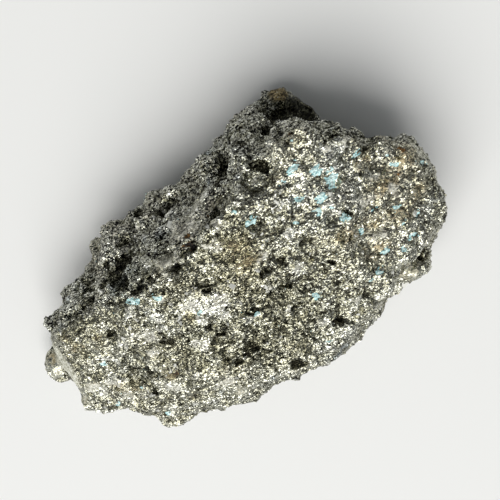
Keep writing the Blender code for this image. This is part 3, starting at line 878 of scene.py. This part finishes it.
def pyrite_material(name, settings):
    """Massive pyrite as it broke, never ground or polished.

    It breaks across its grains, so each facet is its own small mirror, a bright pale brass where it is
    untarnished and olive where it has tarnished, with pores and cracks between that are painted darker as
    painted shade. Its tone also carries painted shade in pits and hollows, painted highlight on the
    freshest crystal and painted light over broad areas. In dull places a matt film of crushed grains lies
    on it, white over the painted highlights, in some recesses rust, and over all that pale blue copper
    salts, which dried on it and are white where they are thick.
    """
    material, tree = bare_material(name)
    values = pyrite_values(tree, settings.cell_size)
    work_out(
        tree, values,
        # Pores and short cracks along the bedding between the chips are painted darker, as painted shade.
        ("pores", RANGE, None, "porous", *PORES, PORE_SHADE, 1.0),
        ("away", MATHS, "SUBTRACT", "slow", CRACK_VALUE),
        ("away", MATHS, "ABSOLUTE", "away"),
        ("closed", RANGE, None, "whole", *CRACKS_CLOSE, 0.0, CRACKS_CLOSED),
        ("away", MATHS, "ADD", "away", "closed"),
        ("cracks", RANGE, None, "away", CRACK_WIDTH / 2, CRACK_WIDTH, CRACK_SHADE, 1.0),
        ("gaps", MATHS, "MULTIPLY", "pores", "cracks"),
        # Each facet, chip and region has its own tarnish.
        ("shade", MATHS, "MULTIPLY_ADD", "cells", CELL_TARNISH, "tone"),
        ("shade", MATHS, "MULTIPLY_ADD", "chips", CHIP_TARNISH, "shade"),
        ("shade", MATHS, "MULTIPLY_ADD", "stained", STAIN_TARNISH, "shade"),
        ("shade", MATHS, "DIVIDE", "shade", MOST_SHADE),
        ("cool", RANGE, None, "warm", 0.0, COOL_BELOW, 1.0, 0.0),
        # Where there is rust there is film too, and the crust lies over both.
        ("rust sum", MATHS, "MULTIPLY_ADD", "porous", RUST_FRAYED, "rust"),
        ("rusty", MATHS, "GREATER_THAN", "rust sum", RUST_FROM),
        ("film sum", MATHS, "MULTIPLY_ADD", "patchy", FILM_FRAYED, "dull"),
        ("film sum", MATHS, "ADD", "film sum", "rusty"),
        ("filmed", MATHS, "GREATER_THAN", "film sum", FILM_FROM),
        ("crust sum", MATHS, "MULTIPLY_ADD", "streaked", BLUE_FRAYED, "blue"),
        ("crusted", MATHS, "GREATER_THAN", "crust sum", BLUE_FROM),
        ("white", MATHS, "MULTIPLY_ADD", "porous", WHITE_FRAYED, "crust sum"),
        ("white", RANGE, None, "white", *WHITE_RANGE, 0.0, 1.0),
        ("covered", MATHS, "MAXIMUM", "filmed", "crusted"),
        ("metallic", MATHS, "SUBTRACT", 1.0, "covered"),
        ("rough", RANGE, None, "covered", 0.0, 1.0, METAL_ROUGHNESS, FILM_ROUGHNESS),
        # Every facet leans its own way, and the chips on it lean from that.
        ("lean", VECTORS, "SUBTRACT", "cells", RANDOM_MIDDLE),
        ("lean", VECTORS, "MULTIPLY", "lean", (CELL_LEAN,) * 3),
        ("chip lean", VECTORS, "SUBTRACT", "chips", RANDOM_MIDDLE),
        ("lean", VECTORS, "MULTIPLY_ADD", "chip lean", (CHIP_LEAN,) * 3, "lean"),
        ("normal", VECTORS, "MULTIPLY_ADD", "lean", "broken", "crumple"),
        ("normal", VECTORS, "NORMALIZE", "normal"),
    )
    stops = [(position / MOST_SHADE, colour) for position, colour in TARNISH]
    hues = ("silvery", "brassy", "bluish", "powder", "ochre", "rust", "blue", "white")
    colours = {hue: (*getattr(settings, hue), 1.0) for hue in hues}
    colours["lit"] = (1.0, 1.0, 1.0, 1.0)
    colours["gaps"] = values["gaps"]
    colours["tarnish"] = add_node(
        tree, "ShaderNodeValToRGB", {"Fac": values["shade"]}, stops
    ).outputs["Color"]
    # Each row makes its first colour: how much, over what, of which colour, and how they blend.
    for made, share, under, over, blend in (
        ("metal", values["warm"], "silvery", "brassy", "MIX"),
        ("metal", values["cool"], "metal", "bluish", "MIX"),
        ("film", values["warm"], "powder", "ochre", "MIX"),
        ("film", values["rusty"], "film", "rust", "MIX"),
        ("stone", values["filmed"], "metal", "film", "MIX"),
        ("stone", 1.0, "stone", "tarnish", "MULTIPLY"),
        ("shadow", values["broken"], "lit", "gaps", "MIX"),
        ("stone", 1.0, "stone", "shadow", "MULTIPLY"),
        ("crust", values["white"], "blue", "white", "MIX"),
        ("crust", CRUST_PORE_SHADE, "crust", "gaps", "MULTIPLY"),
        ("stone", values["crusted"], "stone", "crust", "MIX"),
    ):
        colours[made] = add_node(
            tree, "ShaderNodeMix", {0: share, 6: colours[under], 7: colours[over]},
            data_type="RGBA", blend_type=blend,
        ).outputs[2]
    shader = add_node(
        tree, "ShaderNodeBsdfPrincipled",
        {
            "Base Color": colours["stone"], "Metallic": values["metallic"],
            "Roughness": values["rough"], "Normal": values["normal"],
        },
    )
    add_node(tree, "ShaderNodeOutputMaterial", {"Surface": shader.outputs[0]})
    return material


def quartz_material(name, settings):
    """Quartz that grew between the pyrite's crystals and broke with them, like clouded glass.

    It is grey and only a little shiny, and paler where the tone of the stone is high, painted light and
    painted shade included.
    """
    material, tree = bare_material(name)
    tone = add_node(tree, "ShaderNodeAttribute", attribute_name="tone").outputs["Fac"]
    stops = ((0.0, settings.quartz), (1.0, settings.pale_quartz))
    colour = add_node(tree, "ShaderNodeValToRGB", {"Fac": tone}, stops).outputs["Color"]
    shader = add_node(
        tree, "ShaderNodeBsdfPrincipled", {"Base Color": colour, "Roughness": QUARTZ_ROUGHNESS}
    )
    add_node(tree, "ShaderNodeOutputMaterial", {"Surface": shader.outputs[0]})
    return material


# How many random points are drawn for each place at the wanted spacing.
DRAWN_EACH = 6


class SkinPoints:
    """Evenly spread random points of the skin: places, the ways it faces there and its looks."""

    def __init__(self, spacing, rng):
        points, normals, triangles = skin_arrays()
        a, b, c = (points[triangles[:, i]] for i in range(3))
        area = np.linalg.norm(np.cross(b - a, c - a), axis=1) / 2
        # Many more points than needed are drawn, and one is kept in each cube of the spacing.
        count = int(area.sum() / spacing**2 * DRAWN_EACH)
        chosen = rng.choice(len(area), count, p=area / area.sum())
        share = rng.random((count, 2))
        over = share.sum(axis=1) > 1
        share[over] = 1 - share[over]
        weights = np.column_stack((1 - share.sum(axis=1), share))[:, :, None]
        corners = triangles[chosen]
        places = (points[corners] * weights).sum(axis=1)
        ways = (normals[corners] * weights).sum(axis=1)
        _, kept = np.unique(np.floor(places / spacing).astype(int), axis=0, return_index=True)
        self.places = places[kept]
        self.ways = ways[kept] / np.linalg.norm(ways[kept], axis=1)[:, None]
        self.looks = {}
        for name, values in skin_looks().items():
            self.looks[name] = (values[corners[kept]] * weights[kept, :, 0]).sum(axis=1)

    def keep(self, chosen):
        """Keeps only the chosen points."""
        self.places = self.places[chosen]
        self.ways = self.ways[chosen]
        self.looks = {name: values[chosen] for name, values in self.looks.items()}


def turns_of(angles):
    """Rotation matrices for rows of three angles, about X, then Y, then Z."""
    cos, sin = np.cos(angles), np.sin(angles)
    nil, one = np.zeros(len(angles)), np.ones(len(angles))
    about_x = np.array([[one, nil, nil], [nil, cos[:, 0], -sin[:, 0]], [nil, sin[:, 0], cos[:, 0]]])
    about_y = np.array([[cos[:, 1], nil, sin[:, 1]], [nil, one, nil], [-sin[:, 1], nil, cos[:, 1]]])
    about_z = np.array([[cos[:, 2], -sin[:, 2], nil], [sin[:, 2], cos[:, 2], nil], [nil, nil, one]])
    about_x, about_y, about_z = (np.moveaxis(turn, 2, 0) for turn in (about_x, about_y, about_z))
    return about_z @ about_y @ about_x


# How much a cut across a corner leans along each axis.
CUT_LEAN = (0.15, 1.0)


def cut_cube(rng, cuts, depth):
    """A cube of size 1 that has lost some of its corners and edges, as points and triangles."""
    bm = bmesh.new()
    bmesh.ops.create_cube(bm, size=1.0)
    for _ in range(cuts):
        way = Vector(rng.choice((-1.0, 1.0), 3) * rng.uniform(*CUT_LEAN, 3)).normalized()
        everything = bm.verts[:] + bm.edges[:] + bm.faces[:]
        cut = bmesh.ops.bisect_plane(
            bm, geom=everything, plane_co=way * rng.uniform(*depth), plane_no=way, clear_outer=True
        )["geom_cut"]
        edges = [part for part in cut if isinstance(part, bmesh.types.BMEdge)]
        bmesh.ops.holes_fill(bm, edges=edges)
    bmesh.ops.triangulate(bm, faces=bm.faces)
    bmesh.ops.recalc_face_normals(bm, faces=bm.faces)
    mesh = mesh_from(bm, "form")
    points, _, triangles = mesh_arrays(mesh)
    bpy.data.meshes.remove(mesh)
    return points, triangles


def joined_copies(name, forms, places, turns, sizes, looks, rng):
    """One mesh that holds a copy of one of the forms at each place, each with the looks there."""
    kinds = rng.integers(len(forms), size=len(places))
    all_points, all_triangles = [], []
    all_looks = {key: [] for key in LOOKS}
    first = 0
    for kind, (points, triangles) in enumerate(forms):
        chosen = np.flatnonzero(kinds == kind)
        scaled = points[None, :, :] * sizes[chosen][:, None, :]
        put = np.einsum("nij,nvj->nvi", turns[chosen], scaled) + places[chosen][:, None, :]
        starts = first + np.arange(len(chosen)) * len(points)
        all_points.append(put.reshape(-1, 3))
        all_triangles.append((triangles[None, :, :] + starts[:, None, None]).reshape(-1, 3))
        for key, values in all_looks.items():
            values.append(np.repeat(looks[key][chosen], len(points)))
        first += len(chosen) * len(points)
    points = np.concatenate(all_points)
    points[:, 2] = np.maximum(points[:, 2], FLOOR_GAP * MM)
    mesh = bpy.data.meshes.new(name)
    mesh.from_pydata(points, [], np.concatenate(all_triangles))
    set_looks(mesh, {key: np.concatenate(values) for key, values in all_looks.items()})
    return mesh


# How many cut forms each kind of crystal has.
FORM_COUNT = 14
# Crystals in a patch of this pitch, in millimetres, lie nearly parallel and glint together.
PATCH_PITCH = 3.5
PATCH_TURN = 3.0
PATCH_OFFSETS = (0.0, 11.0, 22.0)
# Crystals grow where the skin is rougher than this, and only in shallower pits.
LEAST_BROKEN = 0.6
DEEPEST_PIT = 0.2


def patch_angles(places):
    """Angles that crystals turn by, which change slowly from place to place."""
    turns = [field(places, PATCH_PITCH, offset) for offset in PATCH_OFFSETS]
    return np.column_stack(turns) * PATCH_TURN


GRAIN_SEED = 7
# How far grains stray from their patch's angles, and the spread of their widths, whose lowest and
# highest are in millimetres.
GRAIN_TURN = 0.5
GRAIN_SPREAD = 0.3
GRAIN_WIDTHS = (0.35, 1.4)
# Their sides as shares of their width, from and to, and how many cuts, how near the middle, each has.
GRAIN_SIDES = ((0.9, 0.8, 0.6), (1.5, 1.1, 0.9))
GRAIN_CUTS = (1, 4)
GRAIN_CUT_DEPTH = (0.42, 0.62)
# How deep a grain's middle lies in the skin, as a share of its width.
GRAIN_SINK = (0.4, 0.7)
# The mean and the spread of what is added to their tone.
GRAIN_TONE = (0.05, 0.15)
# Grains are coarser in some regions, with the pitch and offset of their noise, and finer where dull.
COARSER = 0.4
COARSER_NOISE = (7.0, 3.0)
FINER_DULL = 0.2
# None grows lower than this, in millimetres, where the stone rests.
LOWEST_GRAIN = 0.3
# Quartz lies in bands along the stone, much mixed with pyrite, which has the rest of the grains.
BAND_STRETCH = (0.5, 1, 1)
BAND_NOISE = (6.0, 80.0)
BAND_MIXING = 0.45
PYRITE_SHARE = 0.92


class SPECIMEN_OT_grains(bpy.types.Operator):
    """Grow the small crystals, one joined mesh of pyrite and one of quartz"""

    bl_idname = "specimen.grains"
    bl_label = "Grains"

    def execute(self, context):
        settings = context.scene.specimen
        rng = np.random.default_rng(GRAIN_SEED)
        skin = SkinPoints(settings.grain_spacing, rng)
        bare = (skin.looks["broken"] < LEAST_BROKEN) | (skin.looks["pit"] > DEEPEST_PIT)
        skin.keep(~bare & (skin.places[:, 2] >= LOWEST_GRAIN * MM))
        looks = skin.looks
        count = len(skin.places)
        angles = patch_angles(skin.places) + rng.normal(0, GRAIN_TURN, (count, 3))
        coarse = 1.0 + COARSER * field(skin.places, *COARSER_NOISE) - FINER_DULL * looks["dull"]
        width = settings.grain_size * coarse * rng.lognormal(0.0, GRAIN_SPREAD, count)
        width = np.clip(width, *(limit * MM for limit in GRAIN_WIDTHS))
        sizes = width[:, None] * rng.uniform(*GRAIN_SIDES, (count, 3))
        places = skin.places - skin.ways * (width * rng.uniform(*GRAIN_SINK, count))[:, None]
        forms = [cut_cube(rng, rng.integers(*GRAIN_CUTS), GRAIN_CUT_DEPTH) for _ in range(FORM_COUNT)]
        turns = turns_of(angles)
        looks["tone"] += rng.normal(*GRAIN_TONE, count)
        band = field(skin.places * BAND_STRETCH, *BAND_NOISE) + rng.normal(0, BAND_MIXING, count)
        quartz = band > np.quantile(band, PYRITE_SHARE)
        kinds = (
            ("pyrite_grains", ~quartz, pyrite_material("pyrite grains", settings)),
            ("quartz_grains", quartz, quartz_material("grey quartz", settings)),
        )
        for name, kind, material in kinds:
            kind_looks = {key: values[kind] for key, values in looks.items()}
            mesh = joined_copies(name, forms, places[kind], turns[kind], sizes[kind], kind_looks, rng)
            add_piece(name, mesh, material)
        return {"FINISHED"}


CRYSTAL_SEED = 31
# The dullest skin that large crystals stand on, and how deep their middles lie, as a share of width.
CRYSTAL_DULLEST = 0.45
CRYSTAL_SINK = 0.5
# How much a large crystal's skin faces upward at least, so that none stands out of the outline.
CRYSTAL_STEEPEST = 0.3
# How far large crystals are apart at least, about, and their lowest and highest widths, in
# millimetres. The rest is as the grains have it.
CRYSTAL_SPACING = 1.6
CRYSTAL_WIDTHS = (1.0, 3.2)
CRYSTAL_TURN = 0.3
CRYSTAL_SPREAD = (-0.1, 0.3)
CRYSTAL_SIDES = ((0.9, 0.7, 0.4), (1.3, 1.0, 0.7))
CRYSTAL_CUTS = 5
CRYSTAL_CUT_DEPTH = (0.4, 0.6)
CRYSTAL_TONE = (0.0, 0.2)
# Their faces are smoother than the skin, each by its own measure.
CRYSTAL_BROKEN = (0.3, 0.8)


class SPECIMEN_OT_crystals(bpy.types.Operator):
    """Grow the large flat crystals that catch the light"""

    bl_idname = "specimen.crystals"
    bl_label = "Large Crystals"

    def execute(self, context):
        settings = context.scene.specimen
        rng = np.random.default_rng(CRYSTAL_SEED)
        skin = SkinPoints(CRYSTAL_SPACING * MM, rng)
        fit = (skin.looks["broken"] > LEAST_BROKEN) & (skin.ways[:, 2] > CRYSTAL_STEEPEST)
        fit &= (skin.looks["pit"] < DEEPEST_PIT) & (skin.looks["dull"] < CRYSTAL_DULLEST)
        skin.keep(rng.permutation(np.flatnonzero(fit))[: settings.crystal_count])
        looks = skin.looks
        count = len(skin.places)
        turns = turns_of(patch_angles(skin.places) + rng.normal(0, CRYSTAL_TURN, (count, 3)))
        width = settings.crystal_size * rng.lognormal(*CRYSTAL_SPREAD, count)
        width = np.clip(width, *(limit * MM for limit in CRYSTAL_WIDTHS))
        sizes = width[:, None] * rng.uniform(*CRYSTAL_SIDES, (count, 3))
        places = skin.places - skin.ways * (width * CRYSTAL_SINK)[:, None]
        looks["tone"] += rng.normal(*CRYSTAL_TONE, count)
        looks["broken"] = rng.uniform(*CRYSTAL_BROKEN, count)
        forms = [cut_cube(rng, CRYSTAL_CUTS, CRYSTAL_CUT_DEPTH) for _ in range(FORM_COUNT)]
        mesh = joined_copies("large_crystals", forms, places, turns, sizes, looks, rng)
        add_piece("large_crystals", mesh, pyrite_material("cleaved pyrite", settings))
        return {"FINISHED"}


# The window stands at the lower left of the picture: its direction in plan. Lengths are in metres.
WINDOW_WAY = Vector((-0.62, -0.785, 0.0))
WINDOW_DISTANCE = 2.1
WINDOW_SIZE = (2.6, 2.0)
# Daylight, a little warm from the window and cold from the rest of the room, as linear RGB.
WINDOW_COLOUR = (1.0, 0.99, 0.97)
ROOM_COLOUR = (0.93, 0.97, 1.0)
# The room is dimmest and brightest where it is this much away from the window and towards it.
ROOM_ENDS = 0.8
FLOOR_SIZE = 3.0
FLOOR_ROUGHNESS = 0.9
CAMERA_NEAR = 0.01


def area_light(name, place, size, power, colour):
    """A rectangle of light, aimed at the middle of the picture."""
    light = bpy.data.lights.new(name, "AREA")
    light.shape = "RECTANGLE"
    light.size, light.size_y = size
    light.energy = power
    light.color = colour
    aim = (LOOK_AT - place).to_track_quat("-Z", "Y")
    add_object(name, light).matrix_world = Matrix.Translation(place) @ aim.to_matrix().to_4x4()


def floor_material(colour):
    """Matt white board, pressed smooth: it throws the light back evenly, with no gloss."""
    material = bpy.data.materials.new("matt white board")
    material.use_nodes = True
    shader = material.node_tree.nodes["Principled BSDF"]
    shader.inputs["Base Color"].default_value = (*colour, 1.0)
    shader.inputs["Roughness"].default_value = FLOOR_ROUGHNESS
    return material


class SPECIMEN_OT_stage(bpy.types.Operator):
    """Set up the floor, the lights and the camera"""

    bl_idname = "specimen.stage"
    bl_label = "Stage"

    def execute(self, context):
        stage = context.scene.stage
        bm = bmesh.new()
        bmesh.ops.create_grid(bm, x_segments=1, y_segments=1, size=FLOOR_SIZE / 2)
        floor = add_object("floor", mesh_from(bm, "floor"))
        floor.data.materials.append(floor_material(stage.floor_colour))

        up = math.sin(stage.key_elevation)
        way = WINDOW_WAY * math.cos(stage.key_elevation) + Vector((0.0, 0.0, up))
        place = LOOK_AT + way * WINDOW_DISTANCE
        area_light("window", place, WINDOW_SIZE, stage.key_power, WINDOW_COLOUR)

        world = bpy.data.worlds.new("room")
        context.scene.world = world
        world.use_nodes = True
        tree = world.node_tree
        way = add_node(tree, "ShaderNodeTexCoord").outputs["Generated"]
        facing = add_node(
            tree, "ShaderNodeVectorMath", {0: way, 1: WINDOW_WAY}, operation="DOT_PRODUCT"
        ).outputs["Value"]
        # The wall behind the stone is dim, and the one with the window in it is bright.
        level = add_node(
            tree, "ShaderNodeMapRange",
            {
                "Value": facing, "From Min": -ROOM_ENDS, "From Max": ROOM_ENDS,
                "To Min": stage.room_dim, "To Max": stage.room_light,
            },
        ).outputs[0]
        background = tree.nodes["Background"]
        background.inputs["Color"].default_value = (*ROOM_COLOUR, 1.0)
        tree.links.new(level, background.inputs["Strength"])

        camera = bpy.data.cameras.new("camera")
        camera.sensor_width = CAMERA_SENSOR
        camera.lens = CAMERA_LENS
        camera.clip_start = CAMERA_NEAR
        thing = add_object("camera", camera)
        thing.matrix_world = camera_matrix(stage)
        context.scene.camera = thing
        context.scene.view_settings.view_transform = "Standard"
        return {"FINISHED"}


class SPECIMEN_PT_sidebar(bpy.types.Panel):
    """Lists the operators and what a user can change"""

    bl_label = "Pyrite Specimen"
    bl_space_type = "VIEW_3D"
    bl_region_type = "UI"
    bl_category = "Specimen"

    def draw(self, context):
        for operator in OPERATORS:
            self.layout.operator(operator.bl_idname)
        for settings in (context.scene.specimen, context.scene.stage):
            for name in settings.__annotations__:
                self.layout.prop(settings, name)


OPERATORS = (
    SPECIMEN_OT_skin,
    SPECIMEN_OT_grains,
    SPECIMEN_OT_crystals,
    SPECIMEN_OT_stage,
)
CLASSES = (SpecimenSettings, StageSettings, *OPERATORS, SPECIMEN_PT_sidebar)


def register():
    for each in CLASSES:
        bpy.utils.register_class(each)
    bpy.types.Scene.specimen = PointerProperty(type=SpecimenSettings)
    bpy.types.Scene.stage = PointerProperty(type=StageSettings)


def unregister():
    del bpy.types.Scene.stage
    del bpy.types.Scene.specimen
    for each in reversed(CLASSES):
        bpy.utils.unregister_class(each)


def main():
    """Makes every piece and the stage."""
    register()
    bpy.ops.specimen.skin()
    bpy.ops.specimen.grains()
    bpy.ops.specimen.crystals()
    bpy.ops.specimen.stage()


if __name__ == "__main__":
    main()
